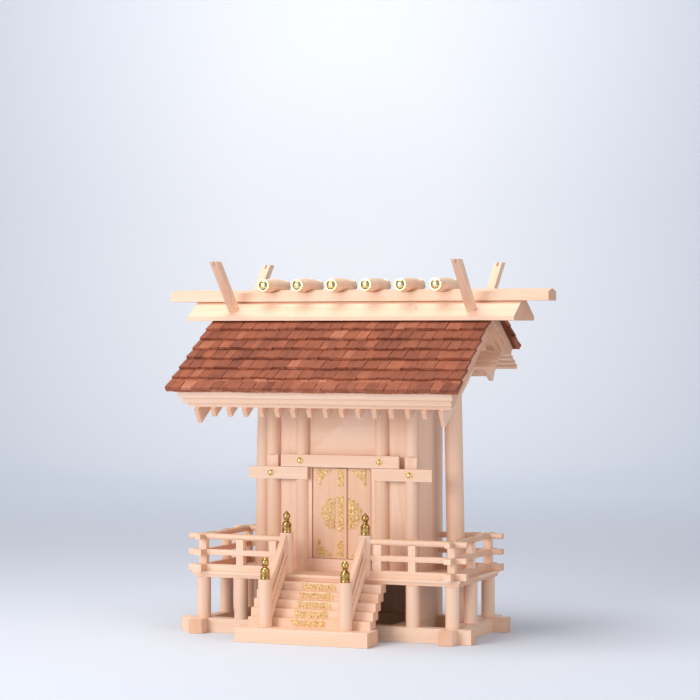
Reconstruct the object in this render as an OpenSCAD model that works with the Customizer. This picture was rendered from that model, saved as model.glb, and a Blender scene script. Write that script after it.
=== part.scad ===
// Miniature shrine in the shinmei manner: raised body, veranda, stair and a shingled gable roof.
// Millimetres. +X runs along the ridge, the stair faces -Y, +Z is up, and z = 0 is the ground.

/* [Roof] */
// Slope of both roof faces, in degrees
roof_pitch = 32.5; // [30:0.5:36]
// Height of the line where the two shingle faces meet
apex_z = 441; // [380:1:520]
// Length of the front slope, from the ridge line to the lowest shingle tip
front_slope = 216; // [200:1:260]
// Length of the rear slope, from the ridge line to the lowest shingle tip
rear_slope = 114; // [100:1:140]
// Half the length of the shingles at the ridge
shingle_half = 198; // [190:1:240]
// How much each end of the shingles flares out at the front eave
verge_flare = 4.7; // [0:0.1:8]
// Distance between shingle rows along the slope
course_run = 23.8; // [18:0.1:30]
// Thickness of the shingles at a tip
shingle_t = 9.6; // [6:0.1:14]
// Depth of the step between two shingle rows
course_step = 3.5; // [1:0.1:5]
// Thickness of the upper board under the shingles
upper_board_t = 13.3; // [6:0.1:18]
// Thickness of the middle board under the shingles
middle_board_t = 10.5; // [6:0.1:16]
// Thickness of the lower board under the shingles
lower_board_t = 8.6; // [4:0.1:12]
// Width of a rafter
rafter_w = 6; // [4:0.1:8]
// Depth of a rafter below the boards
rafter_t = 12; // [8:0.1:16]
// Distance between rafters
rafter_pitch = 22.7; // [18:0.1:26]
// Thickness of a bargeboard
barge_t = 6; // [4:0.1:9]
// Depth of a bargeboard below the boards
barge_depth = 22; // [16:0.1:30]
// Outer face of a bargeboard, from the middle of the shrine
barge_out = 174; // [168:1:200]
// Side of a small square bar on the gable
gable_bar_w = 5.4; // [3:0.1:8]
// Length of a small square bar on the gable
gable_bar_len = 35.5; // [20:0.5:50]

/* [Ridge] */
// Length of the ridge beam
ridge_beam_len = 545; // [500:1:640]
// Width of the ridge beam
ridge_beam_w = 34; // [28:0.5:44]
// Height of the ridge beam at its sides
ridge_beam_side = 12; // [8:0.5:18]
// Height of the ridge beam's gabled top above its sides
ridge_beam_crown = 4; // [2:0.5:8]
// Half the length of the ridge boards
ridge_board_half = 234; // [220:1:260]
// Reach of a ridge board from the ridge line
ridge_board_reach = 43.5; // [36:0.5:55]
// Upright edge of a ridge board
ridge_board_edge = 5.2; // [3:0.1:8]
// Number of logs on the ridge
log_count = 6; // [4:1:8]
// Distance between the logs
log_pitch = 49.5; // [36:0.5:60]
// Length of a log without its caps
log_len = 72; // [60:0.5:90]
// Diameter of a log at its middle
log_mid_d = 19.4; // [16:0.1:24]
// Diameter of a log at its ends
log_end_d = 15.6; // [12:0.1:18]
// Diameter of a log cap
cap_d = 16.6; // [12:0.1:20]
// Thickness of a log cap
cap_t = 4; // [2:0.1:6]
// Side of a forked finial bar
chigi_w = 11; // [8:0.1:14]
// Lean of a forked finial bar from the upright, in degrees
chigi_lean = 43; // [35:1:50]
// Middle of a forked finial bar, from the middle of the shrine
chigi_x = 171; // [150:1:190]
// Height of the forked finials above the shingle ridge line
chigi_rise = 51; // [40:1:70]

/* [Body] */
// Middle of an outer front column, from the middle of the shrine
outer_column_x = 98.7; // [90:0.1:110]
// Middle of an inner front column, from the middle of the shrine
inner_column_x = 56.4; // [52:0.1:62]
// Distance of the front columns from the ridge line
column_y = 59; // [50:0.5:80]
// Diameter of a column
column_d = 18; // [14:0.5:22]
// Thickness of the side and rear walls
wall_t = 8; // [6:0.5:10]
// Distance of the rear wall's outer face from the ridge line
rear_face_y = 36; // [32:0.5:37]
// Thickness of a front panel
panel_t = 6; // [3:0.5:8]
// Width of a wall plate
plate_w = 14; // [10:0.5:16]
// Depth of a wall plate at its lower edge
plate_drop = 13; // [8:0.5:20]
// Diameter of a ridge pillar
pillar_d = 24; // [18:0.5:28]
// Middle of a ridge pillar's foot, from the middle of the shrine
pillar_x = 141.5; // [136:0.5:148]
// Lean of a ridge pillar, in degrees
pillar_lean = 1.2; // [0:0.1:2]

/* [Doorway] */
// Height of the sill beam above the veranda
door_sill_h = 16.3; // [10:0.1:24]
// Height of the clear doorway
doorway_h = 120.2; // [90:0.1:140]
// Half the width of the clear doorway
doorway_half = 42.6; // [36:0.1:44]
// Thickness of a door
door_t = 5; // [4:0.1:6]
// Clearance round a door
door_gap = 0.4; // [0.3:0.05:0.6]
// Radius of a door's pivot pin
pin_r = 1.5; // [1:0.1:2]
// Length of a door's pivot pin
pin_len = 3; // [2:0.1:4]
// Radial clearance of a pivot pin
pin_fit = 0.05; // [0.02:0.01:0.1]
// Width of the strip that covers the join of the doors
astragal_w = 15.8; // [10:0.1:20]
// Thickness of the strip that covers the join of the doors
astragal_t = 3; // [2:0.1:4]
// Height of a lintel board
nageshi_h = 16.2; // [12:0.1:20]
// Thickness of a lintel board
nageshi_t = 6; // [4:0.1:8]
// How far the lintel boards are let into the columns
nageshi_let_in = 5.2; // [0.5:0.1:6]
// Half the length of the upper lintel board
upper_nageshi_half = 84; // [76:0.5:88]
// Reach of the lower lintel boards from the middle
lower_nageshi_reach = 130.3; // [112:0.5:150]
// Diameter of a gilt stud
stud_d = 9.2; // [6:0.1:12]
// Thickness of the gilt plates
gilt_t = 0.6; // [0.4:0.1:1]

/* [Base and veranda] */
// Width of a sill
sill_w = 19; // [16:0.5:24]
// Height of a sill
sill_h = 19; // [14:0.5:26]
// Reach of a sill end past the crossing sill
sill_out = 19; // [10:0.5:26]
// Middle of the side post line, from the middle of the shrine
side_x = 175; // [168:1:200]
// Distance of the front post line from the ridge line
front_y = 115; // [100:1:130]
// Distance of the rear post line from the ridge line
rear_y = 27.5; // [26:0.5:29]
// Middle of a front post beside the stair
mid_post_x = 121.2; // [112:0.1:130]
// Diameter of a post under the veranda
post_d = 18; // [14:0.5:22]
// Height of the posts under the veranda
post_h = 54; // [44:0.5:64]
// Thickness of each of the two veranda layers
deck_t = 4; // [3:0.5:6]
// Reach of the veranda past its posts' middle
deck_out = 9; // [8:0.5:12]
// Reach of the veranda past its posts' middle at the two sides
deck_side_out = 13; // [8:0.5:16]
// Setback of the lower veranda layer
deck_setback = 2; // [1:0.5:3]
// Thickness of the body's own floor
floor_t = 6; // [4:0.5:8]

/* [Railing] */
// Side of a square railing post
rail_post_w = 10; // [8:0.5:12]
// Height of the bottom rail
bottom_rail_h = 9; // [7:0.5:12]
// Height of the middle rail
mid_rail_h = 7; // [5:0.5:9]
// Middle of the middle rail above the veranda
mid_rail_z = 25; // [22:0.5:30]
// Diameter of the top rail
top_rail_d = 8; // [6:0.5:10]
// Middle of the top rail above the veranda
top_rail_z = 45.5; // [40:0.5:55]
// Reach of the rail ends past the corner post's middle
rail_out = 20.5; // [14:0.5:26]
// Middle of a railing post beside the upper newel
stair_post_x = 74; // [70:0.5:80]
// Length of a gilt strip on the top rail
rail_strip_len = 26; // [14:0.5:34]

/* [Stair] */
// Number of steps
step_count = 5; // [4:1:6]
// Tread run between two steps
step_run = 9.2; // [8:0.1:12]
// Width of the steps
step_w = 170; // [150:1:200]
// Tread of the top step in front of the veranda
top_tread = 11.8; // [8:0.1:14]
// Width of the stair's base block
stair_base_w = 184; // [170:1:220]
// Base block in front of the lowest step
stair_base_front = 28.4; // [22:0.1:36]
// Base block under the lowest step
stair_base_under = 7.8; // [5:0.1:12]
// Diameter of a newel
newel_d = 18; // [14:0.5:22]
// Middle of a newel, from the middle of the shrine
newel_x = 55.5; // [50:0.5:58]
// Height of a lower newel
lower_newel_h = 61.5; // [50:0.5:74]
// Height of an upper newel
upper_newel_h = 54; // [48:0.5:64]
// Height of a newel's onion finial
finial_h = 29; // [20:0.5:36]
// Greatest diameter of a newel's onion finial
finial_d = 13; // [10:0.1:16]
// Thickness of a sloping handrail board
handrail_t = 7; // [5:0.1:9]
// Upright depth of a sloping handrail board
handrail_h = 29; // [20:0.5:34]
// Upright depth of the rail under a handrail board
handrail_foot_h = 17; // [12:0.5:19]
// Width of the rail under a handrail board
handrail_foot_w = 10; // [8:0.1:13]
// Length of a gilt plate on a riser
riser_plate_w = 48.6; // [30:0.1:70]

/* [Hidden] */
$fn = 48;

wood = "#f1cda9";
pale_wood = "#f5d9c4";
shade_wood = "#d9a987";
bark = "#9c5540";
gilt = "#e2bd55";
brass = "#b8923a";

joint_gap = 0.1;    // between pieces of one node that lie against each other
seat = 0.2;         // how far a round piece is let into what it meets
eps = 1;            // overrun of a cut
rise = tan(roof_pitch);
cp = cos(roof_pitch);
sp = sin(roof_pitch);

deck_top = sill_h + post_h + 2 * deck_t;
deck_mid = sill_h + post_h + deck_t;
deck_bottom = sill_h + post_h;
deck_front = front_y + deck_out;
deck_rear = rear_y + deck_out;
deck_half = side_x + deck_side_out;
sill_end_x = side_x + sill_w / 2 + sill_out;
sill_end_front = front_y + sill_w / 2 + sill_out;
sill_end_rear = rear_y + sill_w / 2 + sill_out;
wall_half = outer_column_x + column_d / 2;
wall_in = wall_half - wall_t;
wall_front = column_y - 4;   // a side wall starts inside its column
step_rise = post_h / step_count;
step_depth = 2 * step_run;
stair_slope = step_rise / step_run;
first_step_y = deck_front + top_tread + (step_count - 1) * step_run;
stair_front = first_step_y + stair_base_front;
lower_newel_y = first_step_y + stair_base_front / 2 - 1.8;
upper_newel_y = front_y;
side_post_y = (front_y - rear_y) / 2;

n_upper = -shingle_t;
n_middle = n_upper - upper_board_t;
n_lower = n_middle - middle_board_t;
n_rafter = n_lower - lower_board_t;
n_under = n_rafter - rafter_t;
upper_back = 10.9;   // setbacks of the layers from the shingle tips, along the slope
middle_back = 13.8;
lower_back = 18.6;
rafter_back = 14;
barge_back = 13;
tip_back = 4;
upper_half = shingle_half - 6.7;
middle_half = shingle_half - 10.5;
lower_half = shingle_half - 13.4;
rafter_count = 2 * floor((barge_out - barge_t - rafter_w / 2) / rafter_pitch);

beam_z = apex_z - 1.6;
purlin_w = 16;
purlin_h = 16.9;
purlin_z = under_z(purlin_w / 2) - purlin_h;
front_plate_z = under_z(column_y + plate_w / 2) - plate_drop;
rear_plate_y = rear_face_y - wall_t / 2;
rear_plate_z = under_z(rear_plate_y + plate_w / 2) - plate_drop;

sill_top = deck_top + door_sill_h;
head_z = sill_top + doorway_h;
nageshi_z = head_z + 1.5;
nageshi_y = column_y + column_d / 2 - nageshi_let_in;
door_y = column_y - 2;
door_front = door_y + door_t / 2;
pivot_x = doorway_half - door_gap - door_t / 2;
door_bottom = sill_top + door_gap;
door_top = head_z - door_gap;
log_z = beam_z + ridge_beam_side + ridge_beam_crown + 5.6;

rear_tip = rear_slope * cp;
shift_y = (stair_front - rear_tip) / 2;   // puts the footprint's middle at y = 0

// Height of the rafters' underside at a distance from the ridge line
function under_z(y) = apex_z + n_under / cp - y * rise;
// A point of a roof face: side -1 is the front, s runs down the slope and n stands off it
function on_roof(side, s, n) = [side * (s * cp + n * sp), apex_z - s * sp + n * cp];
// Where a layer at height n meets the upright plane through the ridge
function ridge_s(n) = (joint_gap / 2 - n * sp) / cp;
function shingle_end(s) = shingle_half + verge_flare * s / front_slope;

module placed() translate([0, shift_y, 0]) children();

module block(x0, x1, y0, y1, z0, z1)
    translate([x0, y0, z0]) cube([x1 - x0, y1 - y0, z1 - z0]);

// An outline in Y and Z, drawn out along X
module along_x(x0, x1, outline)
    translate([x0, 0, 0]) rotate([90, 0, 90]) linear_extrude(x1 - x0) polygon(outline);

module both_sides() {
    children();
    mirror([1, 0, 0]) children();
}

module post(x, y, d, z0, z1) translate([x, y, z0]) cylinder(d = d, h = z1 - z0);

// One layer of a roof face, from the ridge to s_end
module roof_layer(side, n0, n1, s_end, half)
    along_x(-half, half, [
        on_roof(side, ridge_s(n0), n0), on_roof(side, s_end, n0),
        on_roof(side, s_end, n1), on_roof(side, ridge_s(n1), n1)]);

// ---- base ----

module sill_crossings(z0, z1)
    for (y = [-front_y, rear_y]) both_sides()
        block(side_x - sill_w / 2, side_x + sill_w / 2, y - sill_w / 2, y + sill_w / 2, z0, z1);

module cross_sills() color(wood) placed() difference() {
    for (y = [-front_y, rear_y])
        block(-sill_end_x, sill_end_x, y - sill_w / 2, y + sill_w / 2, 0, sill_h);
    sill_crossings(sill_h / 2, sill_h + eps);
}

module side_sills() color(wood) placed() {
    difference() {
        both_sides() block(side_x - sill_w / 2, side_x + sill_w / 2,
            -sill_end_front, sill_end_rear, 0, sill_h);
        sill_crossings(-eps, sill_h / 2);
    }
    both_sides() block(outer_column_x - sill_w / 2, outer_column_x + sill_w / 2,
        sill_w / 2 - front_y, rear_y - sill_w / 2, 0, sill_h);
}

// ---- stair ----

module stair_base() color(wood) placed()
    block(-stair_base_w / 2, stair_base_w / 2, -stair_front, stair_base_under - first_step_y, 0, sill_h);

module steps() color(wood) placed()
    for (i = [0:step_count - 1])
        block(-step_w / 2, step_w / 2, i * step_run - first_step_y,
            i * step_run - first_step_y + step_depth,
            sill_h + i * step_rise, sill_h + (i + 1) * step_rise - joint_gap);

module riser_plates() color(gilt) placed()
    for (i = [0:step_count - 1])
        block(-riser_plate_w / 2, riser_plate_w / 2, i * step_run - first_step_y - gilt_t,
            i * step_run - first_step_y,
            sill_h + i * step_rise + 0.6, sill_h + (i + 1) * step_rise - 0.7);

module newels() color(pale_wood) placed() both_sides() {
    post(newel_x, -lower_newel_y, newel_d, sill_h, sill_h + lower_newel_h);
    post(newel_x, -upper_newel_y, newel_d, deck_top, deck_top + upper_newel_h);
}

module onion_finial() {
    r = finial_d / 2;
    h = finial_h;
    rotate_extrude() polygon([
        [0, 0], [r, 0], [r, 0.40 * h], [0.86 * r, 0.47 * h], [0.55 * r, 0.53 * h],
        [0.42 * r, 0.57 * h], [0.42 * r, 0.61 * h], [0.66 * r, 0.66 * h], [0.76 * r, 0.73 * h], [0.66 * r, 0.80 * h],
        [0.40 * r, 0.87 * h], [0.18 * r, 0.93 * h], [0.06 * r, h], [0, h]]);
}

module newel_finials() color(brass) placed() both_sides() {
    translate([newel_x, -lower_newel_y, sill_h + lower_newel_h]) onion_finial();
    translate([newel_x, -upper_newel_y, deck_top + upper_newel_h]) onion_finial();
}

rail_hi = deck_top + upper_newel_h - 2;                       // top of a handrail at the upper newel
rail_y1 = upper_newel_y + newel_d / 2 - seat;                 // its ends, at the two newels
rail_y0 = lower_newel_y - newel_d / 2 + seat;
// A strip that follows the stair's slope, from drop0 to drop1 under the handrail's top edge
module sloping_strip(w, drop0, drop1, end0, end1) {
    z1 = rail_hi - (end1 - rail_y1) * stair_slope;
    z0 = rail_hi - (end0 - rail_y1) * stair_slope;
    along_x(newel_x - w / 2, newel_x + w / 2, [
        [-end0, z0 - drop0], [-end0, z0 - drop1], [-end1, z1 - drop1], [-end1, z1 - drop0]]);
}

module stair_handrails() color(wood) placed() both_sides() difference() {
    union() {
        difference() {
            sloping_strip(handrail_t, 0, handrail_h, rail_y0 + 2, rail_y1 - 2);
            sloping_strip(handrail_t + eps, 0.35 * handrail_h, 0.65 * handrail_h,
                rail_y0 - 7, rail_y1 + 7);
        }
        sloping_strip(handrail_foot_w, handrail_h - seat, handrail_h + handrail_foot_h,
            rail_y0 + 2, rail_y1 - 2);
    }
    post(newel_x, -lower_newel_y, newel_d + joint_gap, 0, sill_h + lower_newel_h + eps);
    post(newel_x, -lower_newel_y, finial_d + joint_gap, 0, apex_z);
    post(newel_x, -upper_newel_y, newel_d + joint_gap, 0, apex_z);
    stair_solid();
}

// Everything the stair's railing stands on
module stair_solid() {
    block(-step_w, step_w, -first_step_y, 0, 0, sill_h + step_rise);
    block(-step_w, step_w, -stair_front, 0, 0, sill_h);
    for (i = [1:step_count - 1])
        block(-step_w, step_w, i * step_run - first_step_y, 0, 0, sill_h + (i + 1) * step_rise);
    block(-step_w, step_w, -deck_front, 0, 0, deck_top);
}

// ---- veranda ----

module veranda_posts() color(pale_wood) placed() both_sides() {
    for (x = [mid_post_x, side_x]) post(x, -front_y, post_d, sill_h, deck_bottom);
    for (y = [-side_post_y, rear_y]) post(side_x, y, post_d, sill_h, deck_bottom);
}

// What passes through the veranda: columns, walls and ridge pillars
module deck_holes() {
    both_sides() post(outer_column_x, -column_y, column_d + joint_gap, 0, apex_z);
    both_sides() block(outer_column_x, wall_half, -wall_front, rear_face_y + eps, 0, apex_z);
    pillar_shape(pillar_d + joint_gap);
}

module deck_layers(half, front, rear, z0, z1) difference() {
    union() {
        block(-half, half, -front, column_d / 2 - column_y, z0, z1);
        both_sides() block(wall_half, half, column_d / 2 - column_y + joint_gap, rear, z0, z1);
    }
    deck_holes();
}

module front_deck() color(wood) placed() difference() {
    block(-deck_half, deck_half, -deck_front, column_d / 2 - column_y, deck_mid, deck_top);
    deck_holes();
}

module side_decks() color(wood) placed() difference() {
    both_sides() block(wall_half, deck_half, column_d / 2 - column_y, deck_rear, deck_mid, deck_top);
    deck_holes();
}

module deck_frames() color(wood) placed()
    deck_layers(deck_half - deck_setback, deck_front - deck_setback, deck_rear - deck_setback,
        deck_bottom, deck_mid);

// ---- railing ----

rail_w = rail_post_w;
rail_end_x = side_x + rail_out;
post_foot = deck_top + bottom_rail_h;
post_head = deck_top + top_rail_z - top_rail_d / 2 + 1;

// Rails along the front and the rear return, the first of the crossing pair
module cross_rails(z0, z1, w = rail_w) both_sides() {
    difference() {
        block(newel_x, rail_end_x, -front_y - w / 2, -front_y + w / 2, z0, z1);
        post(newel_x, -upper_newel_y, newel_d, 0, apex_z);
    }
    block(wall_half, rail_end_x, rear_y - w / 2, rear_y + w / 2, z0, z1);
}

// Rails along the sides, cut where the cross rails pass
module side_rails(z0, z1) both_sides() difference() {
    block(side_x - rail_w / 2, side_x + rail_w / 2, -front_y - rail_out, rear_y + rail_out, z0, z1);
    for (y = [-front_y, rear_y])
        block(0, rail_end_x, y - rail_w / 2 - joint_gap, y + rail_w / 2 + joint_gap, z0 - eps, z1 + eps);
}

module bottom_rails() color(wood) placed() {
    cross_rails(deck_top, post_foot);
    side_rails(deck_top, post_foot);
}

mid_z0 = deck_top + mid_rail_z - mid_rail_h / 2;
mid_z1 = mid_z0 + mid_rail_h;
module mid_rails() color(wood) placed() {
    cross_rails(mid_z0, mid_z1);
    side_rails(mid_z0, mid_z1);
}

module rod_x(x0, x1, y, d)
    translate([x0, y, deck_top + top_rail_z]) rotate([0, 90, 0]) cylinder(d = d, h = x1 - x0);

module rod_y(y0, y1, x, d)
    translate([x, y1, deck_top + top_rail_z]) rotate([90, 0, 0]) cylinder(d = d, h = y1 - y0);

module top_rails() color(pale_wood) placed() both_sides() {
    difference() {
        rod_x(newel_x, rail_end_x, -front_y, top_rail_d);
        post(newel_x, -upper_newel_y, newel_d, 0, apex_z);
    }
    rod_x(wall_half, rail_end_x, rear_y, top_rail_d);
    difference() {
        rod_y(-front_y - rail_out, rear_y + rail_out, side_x, top_rail_d);
        for (y = [-front_y, rear_y]) rod_x(0, rail_end_x, y, top_rail_d + 2 * (gilt_t + joint_gap));
    }
}

front_post_xs = [stair_post_x, mid_post_x, side_x];
side_post_ys = [-side_post_y, rear_y];
module rail_posts() color(wood) placed() both_sides() difference() {
    union() {
        for (x = front_post_xs) rail_post(x, -front_y);
        for (y = side_post_ys) rail_post(side_x, y);
    }
    for (y = [-front_y, rear_y]) rod_x(0, rail_end_x, y, top_rail_d);
    rod_y(-front_y - rail_out, rear_y + rail_out, side_x, top_rail_d);
}

module rail_post(x, y) {
    h = rail_post_w / 2;
    block(x - h, x + h, y - h, y + h, post_foot, mid_z0);
    block(x - h, x + h, y - h, y + h, mid_z1, post_head);
}

// Thin gilt strips lying on top of the top rail
module strip_shell(r) difference() {
    circle(r = r + gilt_t);
    circle(r = r);
    translate([-2 * r, -4 * r + 0.35 * r]) square([4 * r, 4 * r]);
}

module rail_strips() color(gilt) placed() both_sides() {
    r = top_rail_d / 2;
    reach = rail_strip_len / 2;
    for (x = [stair_post_x + 6, mid_post_x, side_x - 2])
        translate([x - reach, -front_y, deck_top + top_rail_z])
            rotate([90, 0, 90]) linear_extrude(rail_strip_len) strip_shell(r);
    translate([side_x - rail_strip_len, rear_y, deck_top + top_rail_z])
        rotate([90, 0, 90]) linear_extrude(rail_strip_len + 6) strip_shell(r);
    translate([side_x, reach - side_post_y, deck_top + top_rail_z])
        rotate([90, 0, 0]) linear_extrude(rail_strip_len) strip_shell(r);
}

// ---- body ----

module body_floor() color(wood) placed()
    block(-wall_in, wall_in, column_d / 2 - column_y, rear_face_y - wall_t, sill_top - floor_t, sill_top);

module outer_posts(d, z0, z1) both_sides() post(outer_column_x, -column_y, d, z0, z1);
module inner_posts(d, z0, z1) both_sides() post(inner_column_x, -column_y, d, z0, z1);

module front_columns() color(pale_wood) placed() difference() {
    union() {
        outer_posts(column_d, sill_h, front_plate_z);
        inner_posts(column_d, deck_top, front_plate_z);
    }
    nageshi_zone();
}

// The flat let into the columns behind the lintel boards
module nageshi_zone()
    block(-lower_nageshi_reach, lower_nageshi_reach, -nageshi_y - nageshi_t, -nageshi_y,
        nageshi_z - nageshi_h - 0.5, nageshi_z + nageshi_h);

panel_y = column_y - column_d / 2 + 1 + panel_t / 2;
module panel_between(x0, x1, z0, z1) difference() {
    block(x0, x1, -panel_y - panel_t / 2, -panel_y + panel_t / 2, z0, z1);
    outer_posts(column_d, 0, apex_z);
    inner_posts(column_d, 0, apex_z);
}

module front_panels() color(wood) placed() {
    both_sides() panel_between(inner_column_x, min(outer_column_x, wall_in), deck_top, front_plate_z);
}

module transom_panel() color(wood) placed()
    panel_between(-inner_column_x, inner_column_x, nageshi_z + nageshi_h, front_plate_z);

module plate_shape(y, z) {
    h = plate_w / 2;
    far = abs(y) + h;
    near = abs(y) - h;
    side = sign(y);
    along_x(joint_gap + barge_t - barge_out, barge_out - barge_t - joint_gap, [
        [side * far, z], [side * near, z], [side * near, under_z(near)], [side * far, under_z(far)]]);
}

module purlin_shape() {
    h = purlin_w / 2;
    along_x(joint_gap + barge_t - barge_out, barge_out - barge_t - joint_gap, [
        [-h, purlin_z], [h, purlin_z], [h, under_z(h)], [0, under_z(0)], [-h, under_z(h)]]);
}

module wall_plates() color(wood) placed() {
    plate_shape(-column_y, front_plate_z);
    plate_shape(rear_plate_y, rear_plate_z);
}

module ridge_purlin() color(wood) placed() purlin_shape();

module side_walls() color(shade_wood) placed() both_sides() difference() {
    along_x(wall_in, wall_half, [
        [-wall_front, sill_h], [rear_face_y, sill_h], [rear_face_y, under_z(rear_face_y)],
        [0, under_z(0)], [-wall_front, under_z(wall_front)]]);
    outer_posts(column_d, 0, apex_z);
    wall_notch(-column_y, plate_w, front_plate_z);
    wall_notch(rear_plate_y, plate_w, rear_plate_z);
    wall_notch(0, purlin_w, purlin_z);
}

// The notch in a wall's top that a plate or the purlin lies in
module wall_notch(y, w, z) block(wall_in - eps, wall_half + eps, y - w / 2, y + w / 2, z, apex_z);

module rear_wall() color(wood) placed()
    block(-wall_in, wall_in, rear_face_y - wall_t, rear_face_y, sill_h, rear_plate_z);

module door_sill() color(wood) placed() difference() {
    block(-inner_column_x, inner_column_x, -column_y - column_d / 2 + 2, column_d / 2 - column_y,
        deck_top, sill_top);
    inner_posts(column_d, 0, apex_z);
    both_sides() post(pivot_x, -door_y, 2 * (pin_r + pin_fit),
        door_bottom - pin_len - pin_fit, sill_top + eps);
}

frame_front = door_y + door_t / 2 + 1;
frame_rear = column_y - column_d / 2;
module door_frame() color(wood) placed() difference() {
    block(-inner_column_x, inner_column_x, -frame_front, -frame_rear, sill_top, nageshi_z + nageshi_h);
    block(-doorway_half, doorway_half, -frame_front - eps, eps - frame_rear, sill_top - eps, head_z);
    inner_posts(column_d, 0, apex_z);
    both_sides() post(pivot_x, -door_y, 2 * (pin_r + pin_fit), head_z - eps, door_top + pin_len + pin_fit);
}

module upper_nageshi() color(wood) placed()
    block(-upper_nageshi_half, upper_nageshi_half, -nageshi_y - nageshi_t, -nageshi_y,
        nageshi_z, nageshi_z + nageshi_h);

module lower_nageshi() color(wood) placed() both_sides()
    block(doorway_half + 3, lower_nageshi_reach, -nageshi_y - nageshi_t, -nageshi_y,
        nageshi_z - nageshi_h - 0.4, nageshi_z - 0.4);

module stud() rotate([90, 0, 0]) rotate_extrude() polygon([
    [0, 0], [stud_d / 2, 0], [stud_d / 2, 0.7], [0.42 * stud_d, 1.1], [0.34 * stud_d, 1.3],
    [0.32 * stud_d, 2.2], [0.24 * stud_d, 3.2], [0.12 * stud_d, 3.7], [0, 3.9]]);

module nageshi_studs() color(gilt) placed() both_sides() {
    translate([inner_column_x, -nageshi_y - nageshi_t, nageshi_z + nageshi_h / 2]) stud();
    translate([outer_column_x, -nageshi_y - nageshi_t, nageshi_z - 0.4 - nageshi_h / 2]) stud();
}

// ---- doors ----

// A left-hand leaf with its pivot pins
module leaf() {
    block(-pivot_x, -door_gap / 2, -door_front, door_t / 2 - door_y, door_bottom, door_top);
    post(-pivot_x, -door_y, door_t, door_bottom, door_top);
    post(-pivot_x, -door_y, 2 * pin_r, door_bottom - pin_len, door_top + pin_len);
}

module left_door() color(wood) placed() leaf();
module right_door() color(wood) placed() mirror([1, 0, 0]) leaf();

module astragal() color(wood) placed() difference() {
    block(-astragal_w / 2, astragal_w / 2, -door_front - astragal_t, -door_front, door_bottom, door_top);
    block(-door_gap / 2, astragal_w, -door_front - door_gap, eps - door_front, 0, apex_z);
}

corner_in = 3.7;     // keeps the plate clear of the jamb when the door stands open
corner_w = 19.5;
corner_h = 22;
ring_r = 25;
ring_bore = 15;
ring_z = sill_top + 60;
fitting_in = astragal_w / 2 + 0.6;
module door_corner(z, up) {
    x = -pivot_x + corner_in;
    translate([0, -door_front, 0]) rotate([90, 0, 0]) linear_extrude(gilt_t)
        polygon([[x, z], [x + corner_w, z], [x + corner_w * 0.55, z + up * corner_h * 0.4],
            [x + corner_w * 0.3, z + up * corner_h], [x, z + up * corner_h]]);
}

module leaf_fittings() {
    door_corner(door_top - 1.2, -1);
    door_corner(door_bottom + 2.4, 1);
    translate([0, -door_front, ring_z]) rotate([90, 0, 0]) linear_extrude(gilt_t) difference() {
        circle(r = ring_r);
        circle(r = ring_bore);
        translate([-fitting_in, -ring_r - eps]) square([2 * ring_r, 2 * (ring_r + eps)]);
    }
}

strip_w = 10.6;
module left_door_fittings() color(gilt) placed() {
    leaf_fittings();
    face = -door_front - astragal_t;
    for (z = [[door_bottom + 2, door_bottom + 24], [ring_z - 24, ring_z + 24], [door_top - 24, door_top - 1]])
        block(-strip_w / 2, strip_w / 2, face - gilt_t, face, z[0], z[1]);
}

module right_door_fittings() color(gilt) placed() mirror([1, 0, 0]) leaf_fittings();

// ---- ridge pillars ----

module pillar_shape(d) both_sides() intersection() {
    translate([pillar_x, 0, 0]) rotate([0, -pillar_lean, 0])
        translate([0, 0, -pillar_d]) cylinder(d = d, h = apex_z);
    block(0, 2 * pillar_x, -pillar_d, pillar_d, 0, purlin_z);
}

module ridge_pillars() color(pale_wood) placed() pillar_shape(pillar_d);

// ---- roof ----

module rafters(side, slope) color(wood) placed()
    for (i = [0:rafter_count - 1]) translate([(i - (rafter_count - 1) / 2) * rafter_pitch, 0, 0])
        roof_layer(side, n_under, n_rafter, slope - rafter_back, rafter_w / 2);

module front_rafters() rafters(-1, front_slope);
module rear_rafters() rafters(1, rear_slope);

module bargeboards() color(wood) placed() both_sides() translate([barge_out - barge_t / 2, 0, 0]) {
    roof_layer(-1, n_rafter - barge_depth, n_rafter, front_slope - barge_back, barge_t / 2);
    roof_layer(1, n_rafter - barge_depth, n_rafter, rear_slope - barge_back, barge_t / 2);
}

bar_count = 4;
bar_first = 52.3;
bar_run = 10.45;
module gable_bars() color(wood) placed() both_sides()
    for (side = [-1, 1], i = [0:bar_count - 1]) {
        n = n_rafter - barge_depth * 0.43;
        s = bar_first + i * bar_run;
        h = gable_bar_w / 2;
        along_x(barge_out, barge_out + gable_bar_len, [
            on_roof(side, s - h, n - h), on_roof(side, s + h, n - h),
            on_roof(side, s + h, n + h), on_roof(side, s - h, n + h)]);
    }

module roof_boards(side, slope) color(wood) placed() {
    roof_layer(side, n_middle + joint_gap, n_upper, slope - upper_back, upper_half);
    roof_layer(side, n_lower + joint_gap, n_middle, slope - middle_back, middle_half);
    roof_layer(side, n_rafter, n_lower, slope - lower_back, lower_half);
}

module front_roof_boards() roof_boards(-1, front_slope);
module rear_roof_boards() roof_boards(1, rear_slope);

// Rows of shingles: each row is a wedge that rises to its tip and laps under the next
lap = 2;
module shingles(side, slope) color(bark) placed() {
    rows = floor((slope - shingle_t) / course_run);
    union() for (i = [0:rows]) {
        tip = slope - i * course_run;
        top = slope - (i + 1) * course_run;
        low = i == 0 ? tip - tip_back : tip;
        upper = i == rows ? ridge_s(-course_step) : top - lap;
        upper_low = i == rows ? ridge_s(n_upper + joint_gap) : top - lap;
        half = shingle_end(tip);
        along_x(-half, half, [
            on_roof(side, upper_low, n_upper + joint_gap), on_roof(side, low, n_upper + joint_gap),
            on_roof(side, tip, 0), on_roof(side, upper, -course_step)]);
    }
}

module front_shingles() shingles(-1, front_slope);
module rear_shingles() shingles(1, rear_slope);

// ---- ridge ----

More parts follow.
